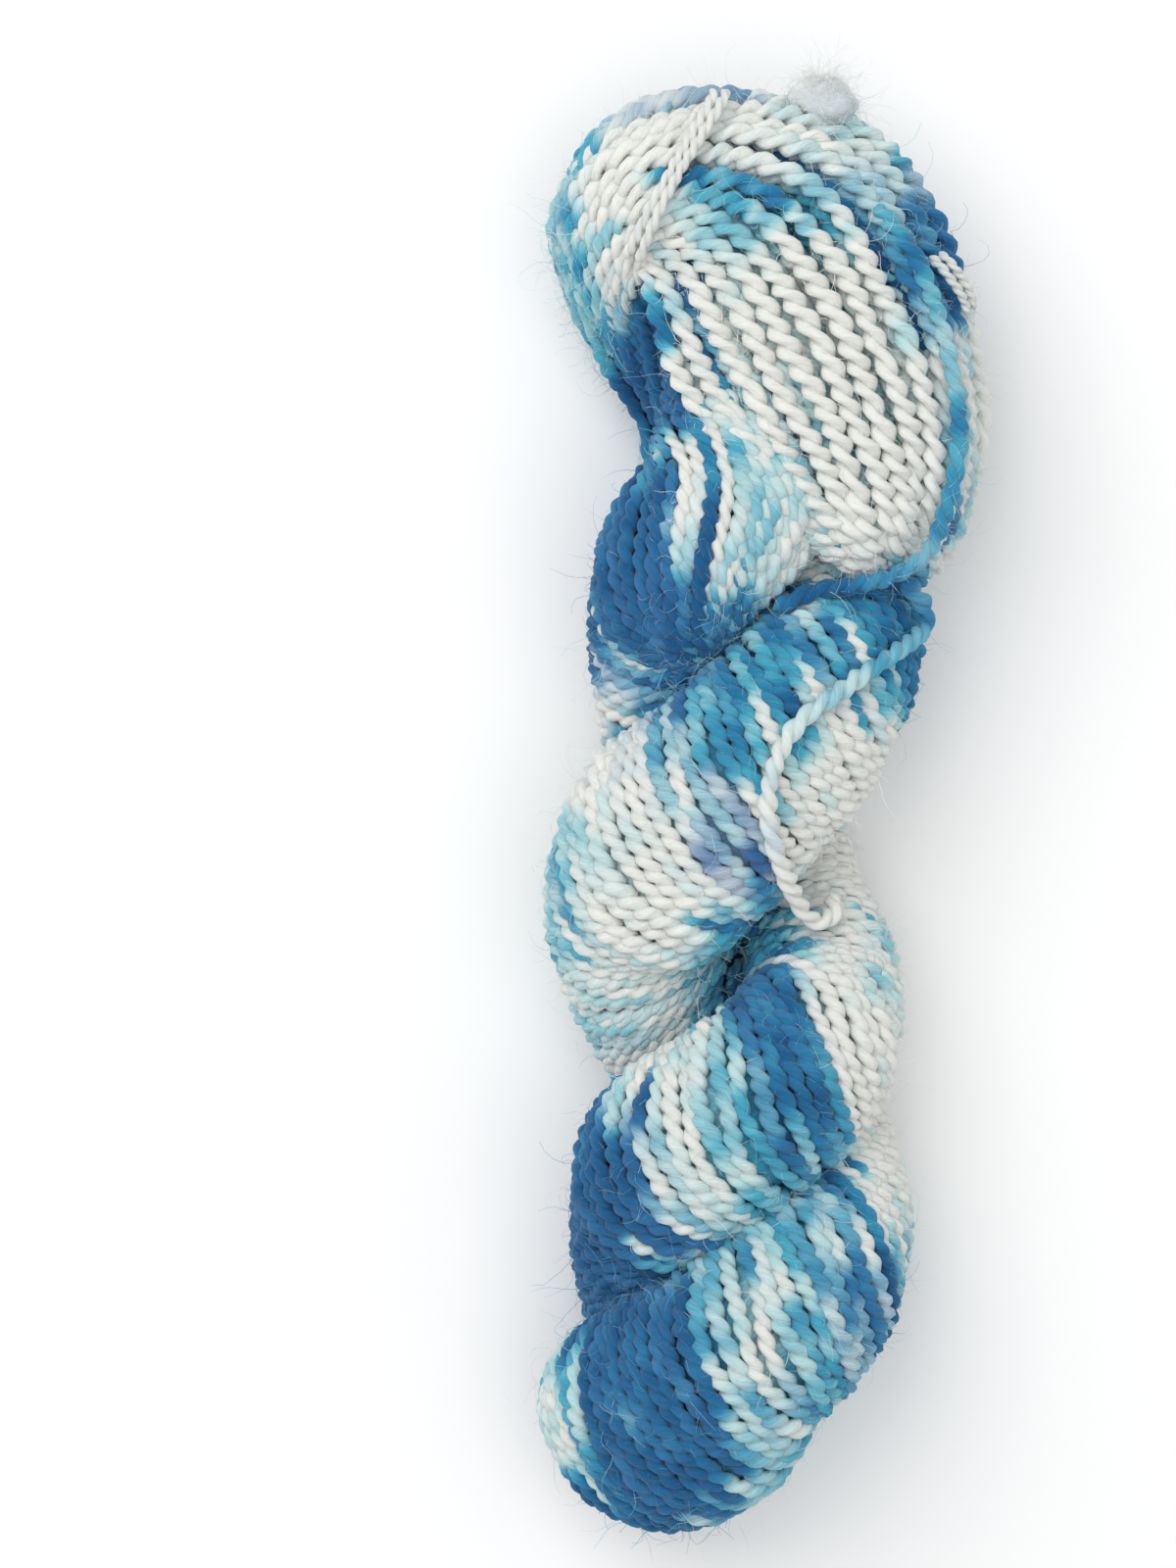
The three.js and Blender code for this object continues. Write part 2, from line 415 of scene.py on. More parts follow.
# Where the dye took on the turns: x, y, reach in x and y, strength and how violet it is.
TURNS_DYE = [
    (-20, 90, 7, 13, 0.95, 0.6), (-27, 52, 9, 20, 0.88, 0.4), (-14, 36, 9, 9, 0.97, 0.8),
    (-21, 68, 3.5, 9, 0.6, 0), (-9, 56, 4.5, 18, 0.04, 0), (2, 55, 6, 14, 0.28, 0),
    (-13, 70, 4, 8, 0.05, 0), (8, 48, 5, 6, 0.1, 0), (-29, 18, 6, 9, 0.1, 0.8), (2, 33, 12, 8, 0.74, 0),
    (15, 37, 10, 8, 0.72, 0), (31, 25, 4.5, 18, 0.88, 0.2), (19, 8, 9, 14, 0.05, 0),
    (11, 8, 2.2, 6, 0.5, 0), (-15, 15, 10, 7, 0.5, 0.1), (-9, -5, 4, 5, 0.5, 0.9),
    (-25, -20, 9, 13, 0.12, 0), (-41, -18, 3, 16, 0.42, 0), (-26, -47, 9, 8, 0.28, 0),
    (-6, -28, 8, 4, 0.45, 0), (18, -36, 8, 18, 0.1, 0), (24, -30, 2.5, 6, 0.5, 0),
    (-2, -36, 6, 9, 0.88, 0.3), (4, -52, 5, 9, 0.82, 0.2), (10, -68, 4, 9, 0.85, 0.2),
    (-19, -66, 4, 18, 0.03, 0), (-9, -62, 5, 14, 0.35, 0), (2, -80, 8, 8, 0.5, 0),
    (-29, -78, 8, 18, 0.93, 0.6), (21, -72, 7, 11, 0.07, 0), (21, -102, 8, 12, 0.52, 0.3),
    (-1, -110, 3.5, 16, 0.06, 0), (-7, -101, 3.5, 9, 0.4, 0), (-22, -118, 13, 16, 0.86, 0.4),
    (-40, -127, 4, 12, 0.2, 0), (-2, -132, 4, 5, 0.4, 0), (10, -118, 6, 10, 0.5, 0.2),
    (-36, 110, 9, 14, 0.5, 0), (0, 140, 20, 6, 0.38, 0.9), (40, 62, 5, 20, 0.1, 0.5),
    (30, 62, 7, 12, 0.25, 0), (12, 90, 14, 22, 0.3, 0), (34, 112, 9, 14, 0.8, 0.5),
    (24, 45, 10, 4, 0.75, 0.1), (-34, 97, 6, 5, 0.6, 0.2),
]
# Where it took on the strands of the fan, written in the same way.
FAN_DYE = [
    (-25, 131, 12, 9, 0.06, 0), (-37, 108, 4, 12, 0.55, 0), (-41, 118, 3, 10, 0.42, 0),
    (-26, 113, 7, 9, 0.02, 0), (-30, 100, 6, 5, 0.45, 0), (0, 134, 8, 6, 0.1, 0), (12, 130, 7, 6, 0.25, 0),
    (21, 123, 6, 7, 0.42, 0), (28, 113, 4, 9, 0.66, 0), (33, 104, 3, 9, 0.75, 0.2),
    (37, 112, 3, 10, 0.85, 0.8), (32, 125, 4, 6, 0.6, 0.9), (33, 92, 3, 6, 0.4, 0),
    (38, 84, 2.5, 9, 0.35, 0), (39, 68, 2.5, 9, 0.4, 0), (44, 80, 2, 25, 0.03, 0.2),
    (-9, 124, 5, 1.8, 1, 0.3), (0, 121, 5, 1.8, 1, 0.3), (8, 116.5, 5, 2.2, 1, 0.3),
    (-13, 119, 8, 2, 0.62, 0), (16, 110, 3, 2, 0.6, 0.2), (5, 85, 16, 22, 0.02, 0),
    (22, 75, 10, 22, 0.0, 0), (-12, 107, 8, 5, 0.25, 0), (-22, 97, 2.5, 8, 0.75, 0),
    (-14, 82, 2, 8, 0.1, 0), (-8, 72, 4, 12, 0.0, 0), (15, 142, 8, 3, 0.4, 0.8),
    (-10, 143, 12, 2, 0.4, 0.9), (12, 100, 10, 6, 0.05, 0), (24, 50, 8, 5, 0.05, 0),
    (20, 133, 5, 3, 0.2, 0),
]


LEAST_SHARE = 1e-9


def dyed(marks, place, spread=1.0):
    """How strong and how violet the dye is at places, blended from its marks."""
    x, y, reach_x, reach_y, strength, violet = np.array(marks, float).T
    off_x, off_y = (place[:, :1] - x) / (reach_x * spread), (place[:, 1:2] - y) / (reach_y * spread)
    near = np.exp(-(off_x**2) - off_y**2)
    share = near / (near.sum(1, keepdims=True) + LEAST_SHARE)
    return share @ strength, share @ violet


# ---------------------------------------------------------------- strands


def wander(along, *waves):
    """A smooth wander from -1 to 1 along a strand, of waves of these lengths."""
    total = sum(np.sin(2 * np.pi * (along / w + rng.random())) for w in waves)
    return total / len(waves)


LEAST_POINTS = 4
THICK_VARIES = 0.13
TWIST_VARIES = 0.12
END_ROUNDING = 0.7
ODD_SHARE = 0.09
ODD_DYE = 0.3
TONE_VARIES = 0.15


class Strand:
    """A plied strand: its line, the way up along it, and what changes along it.

    A streak is how far its dye slides along it and shifts to its side, so that the marks of dye break up.
    """

    def __init__(self, line, up, thick, pitch, step, marks, streak=(5.5, 2.6), squeeze=None):
        measured = lengths(line)
        count = max(LEAST_POINTS, int(round(measured[-1] / step)) + 1)
        self.along = np.linspace(0, measured[-1], count)
        self.line = at_lengths(line, measured, self.along)
        self.up = at_lengths(up, measured, self.along)
        tangent = unit(np.gradient(self.line, axis=0))
        self.up = unit(self.up - (self.up * tangent).sum(1, keepdims=True) * tangent)
        self.side = np.cross(tangent, self.up)
        half = thick / 2 * (1 + THICK_VARIES * wander(self.along, 9, 17, 41))
        if squeeze is not None:
            half = half * np.interp(self.along, measured, squeeze)
        ends = np.minimum(self.along, self.along[-1] - self.along) / (END_ROUNDING * thick)
        self.half = half * np.sqrt(np.clip(ends * (2 - ends), 0.05, 1) * (ends < 1) + (ends >= 1))
        turns = self.along / pitch + TWIST_VARIES * wander(self.along, 23, 41)
        self.twist = -2 * np.pi * (turns + rng.random())
        self.strand = np.full(count, rng.random())
        sliding, shifting = streak
        slide = rng.normal(0, sliding) + 0.4 * sliding * wander(self.along, 37, 61)
        shift = slide[:, None] * tangent + rng.normal(0, shifting) * self.side
        strength, violet = dyed(marks, (self.line + shift)[:, :2])
        odd = (rng.random() < ODD_SHARE) * rng.normal(0, ODD_DYE) * (shifting > 1)
        mottle = 0.19 * wander(self.along, 11.3, 17.1, 29) + 0.1 * wander(self.along, 43)
        half_dyed = 0.25 + 2.4 * strength * (1.15 - strength)
        self.dye = np.clip(strength + odd + mottle * half_dyed, 0, 1)
        self.tone = np.clip(violet + rng.normal(0, TONE_VARIES), 0, 1)


def plied(points, apart=0.38):
    """Angles round a two-ply strand from one ply's crown, and its reach there, in half thicknesses."""
    angle = 90 + 180 / points * np.arange(2 * points)
    c, w = np.abs(np.cos(np.radians(angle))), np.sin(np.radians(angle))
    return np.stack([angle, apart * c + np.sqrt((1 - apart) ** 2 - (apart * w) ** 2)], 1)


# Outlines from fine to coarse: of single strands, of the turns, and of what lies underneath.
FINE, PLAIN, COARSE = plied(6), plied(5, 0.35), plied(3)


def rings_joined(rows, sides, first=0):
    """Four-cornered faces between rings of points, one ring after another."""
    row, corner = first + sides * np.arange(rows - 1)[:, None], np.arange(sides)
    after = (corner + 1) % sides
    return np.stack([row + corner, row + after, row + sides + after, row + sides + corner], -1).reshape(-1, 4)


def spread_flat(u, v):
    """Where the corners of those faces lie on a flat sheet, from the rows' and the sides' places on it."""
    u0, u1, v0, v1 = u[:-1, None], u[1:, None], v[None, :-1], v[None, 1:]
    corners = [np.broadcast_arrays(a, b) for a, b in ((u0, v0), (u0, v1), (u1, v1), (u1, v0))]
    return np.stack([np.stack(c, -1) for c in corners], 2).reshape(-1, 2)


def piece(name, points, faces, held, uvs=None):
    """A smooth mesh of yarn, of faces with four corners, with the numbers that its finish reads."""
    mesh = bpy.data.meshes.new(name)
    mesh.vertices.add(len(points))
    mesh.vertices.foreach_set("co", np.ascontiguousarray(points * MM, np.float32).ravel())
    mesh.loops.add(faces.size)
    mesh.loops.foreach_set("vertex_index", faces.ravel().astype(np.int32))
    mesh.polygons.add(len(faces))
    mesh.polygons.foreach_set("loop_start", (4 * np.arange(len(faces))).astype(np.int32))
    mesh.polygons.foreach_set("use_smooth", np.ones(len(faces), bool))
    mesh.update(calc_edges=True)
    for key, values in held.items():
        layer = mesh.attributes.new(key, "FLOAT", "POINT")
        layer.data.foreach_set("value", np.ascontiguousarray(values, np.float32))
    if uvs is not None:
        layer = mesh.uv_layers.new(name="OFBake")
        layer.data.foreach_set("uv", np.ascontiguousarray(uvs, np.float32).ravel())
    mesh.materials.append(yarn)
    made = bpy.data.objects.new(name, mesh)
    bpy.context.scene.collection.objects.link(made)
    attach(made, "root")
    return made


STRIP_HEIGHT = 9.0
STRIP_GAP = 0.6
SPARE_ROOM = 1.06


def shelves(strips, height):
    """Places for strips of one height, side by side in rows that fill about a square."""
    side = max(np.sqrt(sum(strips) * height) * SPARE_ROOM, max(strips) + 1)
    places, x, y = [], 0.0, 0.0
    for length in strips:
        if x + length > side:
            x, y = 0.0, y + height
        places.append((x, y))
        x += length + 1
    return places, max(side, y + height)


def wind(name, strands, outline=FINE):
    """One mesh of many plied strands."""
    angle, reach, sides = np.radians(outline[:, 0]), outline[:, 1], len(outline)
    points, faces, uvs, first = [], [], [], 0
    places, sheet = shelves([s.along[-1] for s in strands], STRIP_HEIGHT + STRIP_GAP)
    for s, (left, low) in zip(strands, places):
        turn = (s.twist[:, None] + angle)[..., None]
        arm = (s.half[:, None] * reach)[..., None]
        ring = s.line[:, None] + arm * (np.cos(turn) * s.up[:, None] + np.sin(turn) * s.side[:, None])
        points.append(ring.reshape(-1, 3))
        faces.append(rings_joined(len(s.line), sides, first))
        uvs.append(spread_flat(left + s.along, low + STRIP_HEIGHT * np.arange(sides + 1) / sides) / sheet)
        first += ring.shape[0] * sides
    points = np.concatenate(points)
    points[:, 2] = np.maximum(points[:, 2], 0)
    keys = ("dye", "tone", "strand", "along")
    held = {key: np.repeat(np.concatenate([getattr(s, key) for s in strands]), sides) for key in keys}
    held["ply_x"], held["ply_y"] = (np.tile(f(angle), len(points) // sides) for f in (np.cos, np.sin))
    return piece(name, points, np.concatenate(faces), held, np.concatenate(uvs))


PITCH = 7.9
STEP = 0.9
THICK = 3.6
TURN_SPACING = 2.25
LEAN = 3.0
BOW = 4.5
# How deep the turns lie in the bundle's skin, and how deep in another bundle a turn no longer shows.
SUNK = 1.7
BURIED = 2.6
# Where a turn faces down more than this, it is part of the underside, with a coarser outline.
UNDERSIDE = -0.6
SEAM = 178
CROWDED = 0.64
BUNDLE_SIZE = 22
LEAST_LENGTH = 6
RESTING = 0.42
# How far a turn strays along the bundle and rises from it, and how far the few looser ones stand proud.
ASTRAY = 0.5
RISES = 0.3
LOOSER = 0.6
LOOSER_SHARE = 0.12


def turns(bundle, other, first, last, leans, itself=False):
    """The turns of yarn round a bundle that show, cut where they go under the other bundle.

    If itself is true, they are also cut where they go under another part of their own bundle. Leans say how
    far a turn runs along the bundle for each radian it goes round, at lengths along the bundle. Where turns
    would crowd, every other one is left out.
    """
    made = []
    angle = np.radians(np.arange(-SEAM, SEAM + 0.1, 2))
    number, start = 0, first - np.pi * leans[0][1]
    beyond = 0 if itself else np.pi * leans[-1][1]
    while start < last + beyond:
        lean = np.interp(start, *zip(*leans))
        number += 1
        start += TURN_SPACING * np.hypot(1, lean / BUNDLE_SIZE) * rng.normal(1, 0.05)
        bow = BOW * min(1, LEAN / lean)
        lean = lean + rng.normal(0, 0.3)
        s = start - lean * angle + bow * (1 - np.cos(angle)) + ASTRAY * wander(angle * 20, 27, 43)
        on = (s > 0.5) & (s < bundle.length - 0.5)
        if on.sum() < 5:
            continue
        s, around = s[on], angle[on]
        ahead, _ = bundle.skin(s + 1, around)
        behind, _ = bundle.skin(s - 1, around)
        spacing = TURN_SPACING * np.linalg.norm(ahead - behind, axis=1) / 2
        crowded = spacing < CROWDED * TURN_SPACING
        spacing = spacing * (1 + crowded)
        place, out = bundle.skin(s, around, SUNK)
        measured = lengths(place)
        proud = LOOSER * (rng.random() < LOOSER_SHARE) + RISES * wander(measured, 23, 41)
        place = place + out * np.reshape(proud, (-1, 1))
        depth = other.buried(place)
        if itself:
            depth = np.maximum(depth, bundle.buried(place, s))
        settled = settle(place)
        settled[:, 2] = np.maximum(settled[:, 2], THICK * RESTING)
        way_up = unit(out * (1, 1, 1 / FLATTEN))
        shown = (depth < BURIED) & ~(crowded & (number % 2 > 0))
        kind = shown * np.where(way_up[:, 2] < UNDERSIDE, 2, 1)
        edges = np.flatnonzero(np.diff(np.concatenate([[0], kind, [0]])))
        squeeze = np.clip(0.5 + 0.5 * spacing / TURN_SPACING, 0.75, 1.2)
        thick = THICK * rng.normal(1, 0.07)
        for a, b in zip(edges[:-1], edges[1:]):
            b = min(b + 1, len(kind))
            if not kind[a] or lengths(settled[a:b])[-1] < LEAST_LENGTH:
                continue
            under = kind[a] == 2
            step = 2 * STEP if under else STEP
            turn = Strand(settled[a:b], way_up[a:b], thick, PITCH, step, TURNS_DYE, squeeze=squeeze[a:b])
            turn.under = under
            made.append(turn)
    return made


def shared(name, strands, outline=PLAIN, most=190000):
    """The strands as pieces that are each small enough."""
    size = np.cumsum([2 * len(outline) * len(s.line) for s in strands]) // most
    groups = [[s for s, n in zip(strands, size) if n == k] for k in range(size[-1] + 1)]
    return [wind(f"{name}_{k + 1}", group, outline=outline) for k, group in enumerate(groups)]


# ---------------------------------------------------------------- the loose end comes first

LOOSE_ROUTE = [
    (28, 46, 47), (31, 43.2, 43), (33.2, 40.2, 39.5), (33.3, 37, 38.5), (31, 34.5, 41.5), (27.5, 32, 45.5),
    (24, 29.5, 49), (20, 27, 52), (16, 24, 54.5), (11.5, 21, 56.5), (7.2, 17.6, 58), (4.2, 13.6, 59.2),
    (2, 9, 59.8), (0.7, 4, 60), (0.6, -1.5, 59.5), (1.8, -7, 58), (4, -12.6, 54.5), (6.4, -17.4, 49),
    (8.8, -21.2, 44.5), (11.8, -22.8, 42), (14.4, -20.8, 40), (14, -17.2, 37.5),
]
LOOSE_DYE = [
    (33, 40, 4, 6, 0.8, 0.2), (28, 33, 5, 5, 0.42, 0), (18, 25, 5, 4, 0.4, 0), (10, 20, 4, 4, 0.3, 0),
    (3, 12, 4, 5, 0.24, 0), (1, 0, 4, 5, 0.16, 0.5), (3, -12, 4, 5, 0.08, 0.5), (11, -21, 5, 4, 0.02, 0),
]


def steady_up(line, first=(0, 0, 1)):
    """A way up along a line that starts as near the first one and turns as little as it can."""
    tangent = unit(np.gradient(line, axis=0))
    up, ups = np.array(first, float), []
    for t in tangent:
        up = up - (up @ t) * t
        up /= np.linalg.norm(up)
        ups.append(up)
    return np.array(ups)


UNSTREAKED = (0, 0)
FINE_STEP = 0.7
loose_line = curve(LOOSE_ROUTE, np.linspace(0, 1, 500))
loose = Strand(loose_line, steady_up(loose_line), 4.1, 8.5, FINE_STEP, LOOSE_DYE, UNSTREAKED)
loose_end = wind("loose_yarn_end", [loose])
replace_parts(loose_end, "loose_end")
[tuple(p) for p in loose_line[::5] * MM]

# ---------------------------------------------------------------- the turns

# The turns lean more and more where the yarn opens out into the head.
END_GAP = 4
head_start = fan_bundle.stations[18]
fan_leans = [(0, LEAN), (head_start - 70, LEAN), (head_start, 30)]
fan_turns = turns(fan_bundle, inner_bundle, END_GAP, head_start, fan_leans, itself=True)
opening = inner_bundle.stations[[12, 16]]
inner_leans = [(0, LEAN), (opening[0], LEAN), (opening[1], 34)]
inner_turns = turns(inner_bundle, fan_bundle, END_GAP, inner_bundle.length - END_GAP, inner_leans)
wound_turns = sorted(fan_turns + inner_turns, key=lambda s: s.line[:, 1].mean())
turn_pieces = shared("turns", [s for s in wound_turns if not s.under])
turn_pieces += shared("turns_beneath", [s for s in wound_turns if s.under], COARSE)


CORE_DEPTH = 3.9
CORE_RESTING = 1.2
# Painted shade: how much more dye the inside of a bundle takes than its turns, so that it reads darker
# between them.
CORE_PAINTED_SHADE = 0.1
DEEPER_IN_BENDS = 9
DEEPER_IN_HEAD = 4.5
DEEPER_AT_ENDS = 5


def core(name, bundle, head, rings=150, sides=28):
    """The inside of a bundle, which shows dark between its turns, partly by painted shade: it takes a little
    more dye than the turns round it.

    It draws in at its ends, where the bundle bends sharply, and from shortly before the head on.
    """
    s = np.linspace(0.4, bundle.length - 0.4, rings)
    at, around = np.repeat(s, sides), np.tile(2 * np.pi * np.arange(sides) / sides, rings)
    step = bundle.skin(at + 1, around)[0] - bundle.skin(at - 1, around)[0]
    stretch = (step * bundle.frame(at)[1]).sum(1) / 2
    bend = np.clip((0.75 - stretch) / 0.75, 0, 1)
    in_head = np.clip((at - head + 75) / 20, 0, 1)
    end = np.clip(1 - np.minimum(at, bundle.length - at) / 16, 0, 1)
    deeper = DEEPER_IN_BENDS * bend + DEEPER_IN_HEAD * in_head + DEEPER_AT_ENDS * end
    place, out = bundle.skin(at, around, CORE_DEPTH)
    settled = settle(place - out * deeper[:, None])
    settled[:, 2] = np.maximum(settled[:, 2], CORE_RESTING)
    strength, violet = dyed(TURNS_DYE, settled[:, :2], 1.3)
    # Painted shade is added to the dye of the inside.
    held = {"dye": strength + CORE_PAINTED_SHADE, "tone": violet, "strand": 0 * at}
    held |= {"along": at, "ply_x": around * 6, "ply_y": 0 * at}
    return piece(name, settled, rings_joined(rings, sides), held)


cores = [
    core("fan_bundle_inside", fan_bundle, head_start),
    core("inner_bundle_inside", inner_bundle, opening[0] + 40),
]

# ---------------------------------------------------------------- the fan of the head

# Strands of the fan, from the innermost to the outermost, each from behind the head to the notch below it.
FAN_GUIDES = [
    [
        (-12, 84, 16), (-23, 91, 21), (-27.5, 100, 32), (-26, 105.5, 41), (-23.5, 108.5, 46.5),
        (-22.5, 104, 48), (-20.5, 97, 48.5), (-17.5, 88, 49), (-13, 80, 49), (-8, 71.5, 49),
        (-2.5, 64.5, 48.5), (5, 58, 47), (12, 53, 45), (17.5, 49.5, 43), (20, 46.5, 37), (21, 45, 30),
    ],
    [
        (-12, 83, 13), (-26, 91.5, 18), (-31, 102, 32), (-28.5, 109.5, 43), (-22.5, 114, 48.5),
        (-15.5, 112, 51), (-9.5, 106, 53), (-4, 98, 54), (0.5, 90, 54.5), (5, 81, 54.5), (10, 71.5, 54),
        (14.5, 63, 51.5), (18.5, 55.5, 48.5), (21, 50.5, 44), (22.5, 47.5, 38), (23, 46, 30),
    ],
    [
        (-12, 82, 11), (-28, 92, 15), (-35.5, 104, 28), (-33.5, 115.5, 42), (-25, 122, 49.5),
        (-14.5, 122.5, 52.5), (-4, 118.5, 54.5), (4, 111, 55.5), (11, 101, 56), (17, 90, 56), (22, 79, 55),
        (25.5, 69, 52.5), (27, 60.5, 49), (26.5, 54, 43.5), (25.5, 49.5, 37), (25, 47, 29),
    ],
    [
        (-13, 82, 8), (-28, 91, 12), (-37.5, 104, 22), (-39, 119, 37), (-30.5, 129, 46.5), (-17, 134, 50),
        (-3, 134, 52), (10, 129.5, 53), (20, 120.5, 53.5), (27, 109, 53.5), (32, 97, 52.5),
        (35.5, 84, 50.5), (37, 71, 47.5), (35.5, 60.5, 43), (32, 53, 37), (28.5, 49, 29),
    ],
    [
        (-14, 82, 5), (-26, 90, 8), (-35, 103, 15), (-41.5, 118, 27), (-35, 132, 35), (-21, 140, 41),
        (-4, 142.5, 43), (12, 140.5, 43), (25, 133, 41), (34, 121, 39), (40, 106, 37), (43.5, 90, 35),
        (44.5, 75, 32), (42, 61, 28), (36, 51, 23), (30, 46, 18),
    ],
]


def fan_line(share, sunk=0.0):
    """A line of the fan, at a share of the way from its innermost guide to its outermost.

    It is sunk down where it is high, and in from the sides where it is low.
    """
    guides = np.array(FAN_GUIDES, float)
    across = np.array([curve(guides[:, k], np.array([share]))[0] for k in range(guides.shape[1])])
    line = curve(across, np.linspace(0, 1, 400))
    upper = np.clip((line[:, 2] - 22) / 20, 0, 1)
    line[:, 2] -= sunk * upper
    line[:, 0] -= sunk * (1 - upper) * np.sign(line[:, 0])
    return line


FAN_PITCH = 9.2
FAN_STEP = 0.8


def fan_strands(count, sunk, thick, offset=0.0, marks=FAN_DYE):
    """A layer of the fan's strands. They are slim and close where they start, and slack from there on."""
    made = []
    for k in range(count):
        share = np.clip((k + offset + rng.normal(0, 0.12)) / (count - 1), 0, 1)
        line = fan_line(share, sunk)
        measured = lengths(line)
        slack = np.clip((measured - 45) / 40, 0, 1)
        up = steady_up(line, (-1, 0, 0.3))
        side = np.cross(unit(np.gradient(line, axis=0)), up)
        line = line + side * (0.9 * wander(measured, 31, 47, 71) * slack)[:, None]
        line[:, 2] += 0.9 * wander(measured, 53, 37, 23) * slack
        squeeze = 0.66 + 0.34 * np.clip((measured - 38) / 30, 0, 1)
        drawn = thick * rng.normal(1, 0.05)
        made.append(Strand(line, up, drawn, FAN_PITCH, FAN_STEP, marks, streak=(4, 0.4), squeeze=squeeze))
    return made


def fan_base(count=30, sunk=5.0):
    """Strands along the head's part of the bundle, all round it, under those of the fan."""
    made = []
    for k in range(count):
        first = fan_bundle.stations[15] + rng.uniform(-4, 4)
        s = np.arange(first, fan_bundle.length - 0.3, 0.8)
        around = np.full(len(s), 2 * np.pi * (k + rng.normal(0, 0.15)) / count)
        place, out = fan_bundle.skin(s, around, sunk + 1.2 * (k % 2))
        line = settle(place)
        line[:, 2] = np.maximum(line[:, 2], 1.5)
        made.append(Strand(line, out, 4.2, 7.6, 1.2, TURNS_DYE, streak=(5, 2)))
    return made


# Painted shade: further down the strands take the fan's marks with stronger dye and no violet, so they look
# darker, as in the shade of the top strands, and less white shows.
FAN_DYE_WITH_PAINTED_SHADE = [(*mark[:4], 0.16 + 0.6 * mark[4], 0) for mark in FAN_DYE]
fan_top, fan_low = fan_strands(13, -0.4, 5.1), fan_base()
# The two lower layers of the fan carry painted shade in their dye.
fan_under = fan_strands(14, 3.4, 4.2, 0.5, FAN_DYE_WITH_PAINTED_SHADE) + fan_strands(14, 5.6, 4, 0.2, FAN_DYE_WITH_PAINTED_SHADE)
fan_pieces = [
    wind("fan_strands_top", fan_top, outline=plied(6, 0.46)),
    wind("fan_strands_under", fan_under, outline=plied(4, 0.42)),
    wind("fan_strands_low", fan_low, outline=PLAIN),
]


ROUTE_POINTS = 160
NEAR_ROUTE = 2.5
UNCOVERED = 25
SMOOTHING = 25


def laid_over(route, lift, thick, pitch, marks):
    """A strand over the skein along a route seen from above, lifted above the bundles' skin."""
    skins = []
    for bundle in (fan_bundle, inner_bundle):
        s, angle = np.meshgrid(np.arange(1, bundle.length, 1.5), np.radians(np.arange(0, 360, 6)))
        skins.append(settle(bundle.skin(s.ravel(), angle.ravel())[0]))
    skins = np.concatenate(skins)
    t = np.linspace(0, 1, ROUTE_POINTS)
    line = curve([(*p, 0) for p in route], t)
    for p in line:
        close = np.hypot(*(skins[:, :2] - p[:2]).T) < NEAR_ROUTE
        p[2] = skins[close, 2].max() if close.any() else UNCOVERED
    weights = np.hanning(SMOOTHING) / np.hanning(SMOOTHING).sum()
    smooth = np.convolve(np.pad(line[:, 2], SMOOTHING // 2, "edge"), weights, "valid")
    line[:, 2] = smooth + np.interp(t, np.linspace(0, 1, len(lift)), lift)
    return Strand(line, steady_up(line), thick, pitch, FINE_STEP, marks, UNSTREAKED)


EDGE_DYE = [
    (28, 111, 9, 9, 0.55, 0), (38, 84, 5, 9, 0.5, 0), (38, 66, 4, 9, 0.62, 0), (33, 52, 5, 5, 0.62, 0.2),
    (10, 43, 12, 4, 0.8, 0.2),
]
EDGE_ROUTE = [
    (22, 120), (29.5, 110), (34.5, 98), (37.5, 86), (38.8, 75), (38, 66), (36, 58.5), (33, 51.5), (27, 47),
    (19, 45), (10, 43.5), (2, 40),
]
EDGE_LIFT = [2, 3, 3, 3, 3, 3, 2, 0.6, -0.6]
edge_strand = laid_over(EDGE_ROUTE, EDGE_LIFT, 3.9, 8, EDGE_DYE)
fan_pieces.append(wind("fan_edge_strand", [edge_strand]))

for made in turn_pieces + cores + fan_pieces:
    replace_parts(made, "hank")

# ---------------------------------------------------------------- ties and knot


TIE_DYE = [(0, 0, 500, 500, 0.06, 0.6)]
TIE_ROUTES = [
    [(-7.3, 143.5), (-8.5, 140.5), (-12, 134.5), (-16.5, 127), (-20.3, 120), (-23, 114), (-25, 109)],
    [(-9.8, 143.5), (-10.7, 140.5), (-14, 134.5), (-18.3, 127), (-22.2, 120), (-25, 114.5), (-27.5, 110)],
]
SIDE_TIE_ROUTES = [
    [(33, 110), (35.2, 107.8), (37.5, 105), (39.6, 102.2), (41, 99)],
    [(35, 111), (37.2, 108.8), (39.4, 106), (41.3, 103), (42.4, 100)],
]


def tied(name, routes, lift, thick, pitch, slot):
    """The strands of a tie, side by side."""
    made = wind(name, [laid_over(route, lift, thick, pitch, TIE_DYE) for route in routes])
    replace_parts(made, slot)


tied("tie_strands", TIE_ROUTES, [2, 4, 4.6, 4.2, 2.5], 2.5, 6.5, "tie")
tied("side_tie_strands", SIDE_TIE_ROUTES, [1.5, 3.4, 2.6, 0], 2.2, 4.6, "side_tie")


LUMP_DYE = 0.24


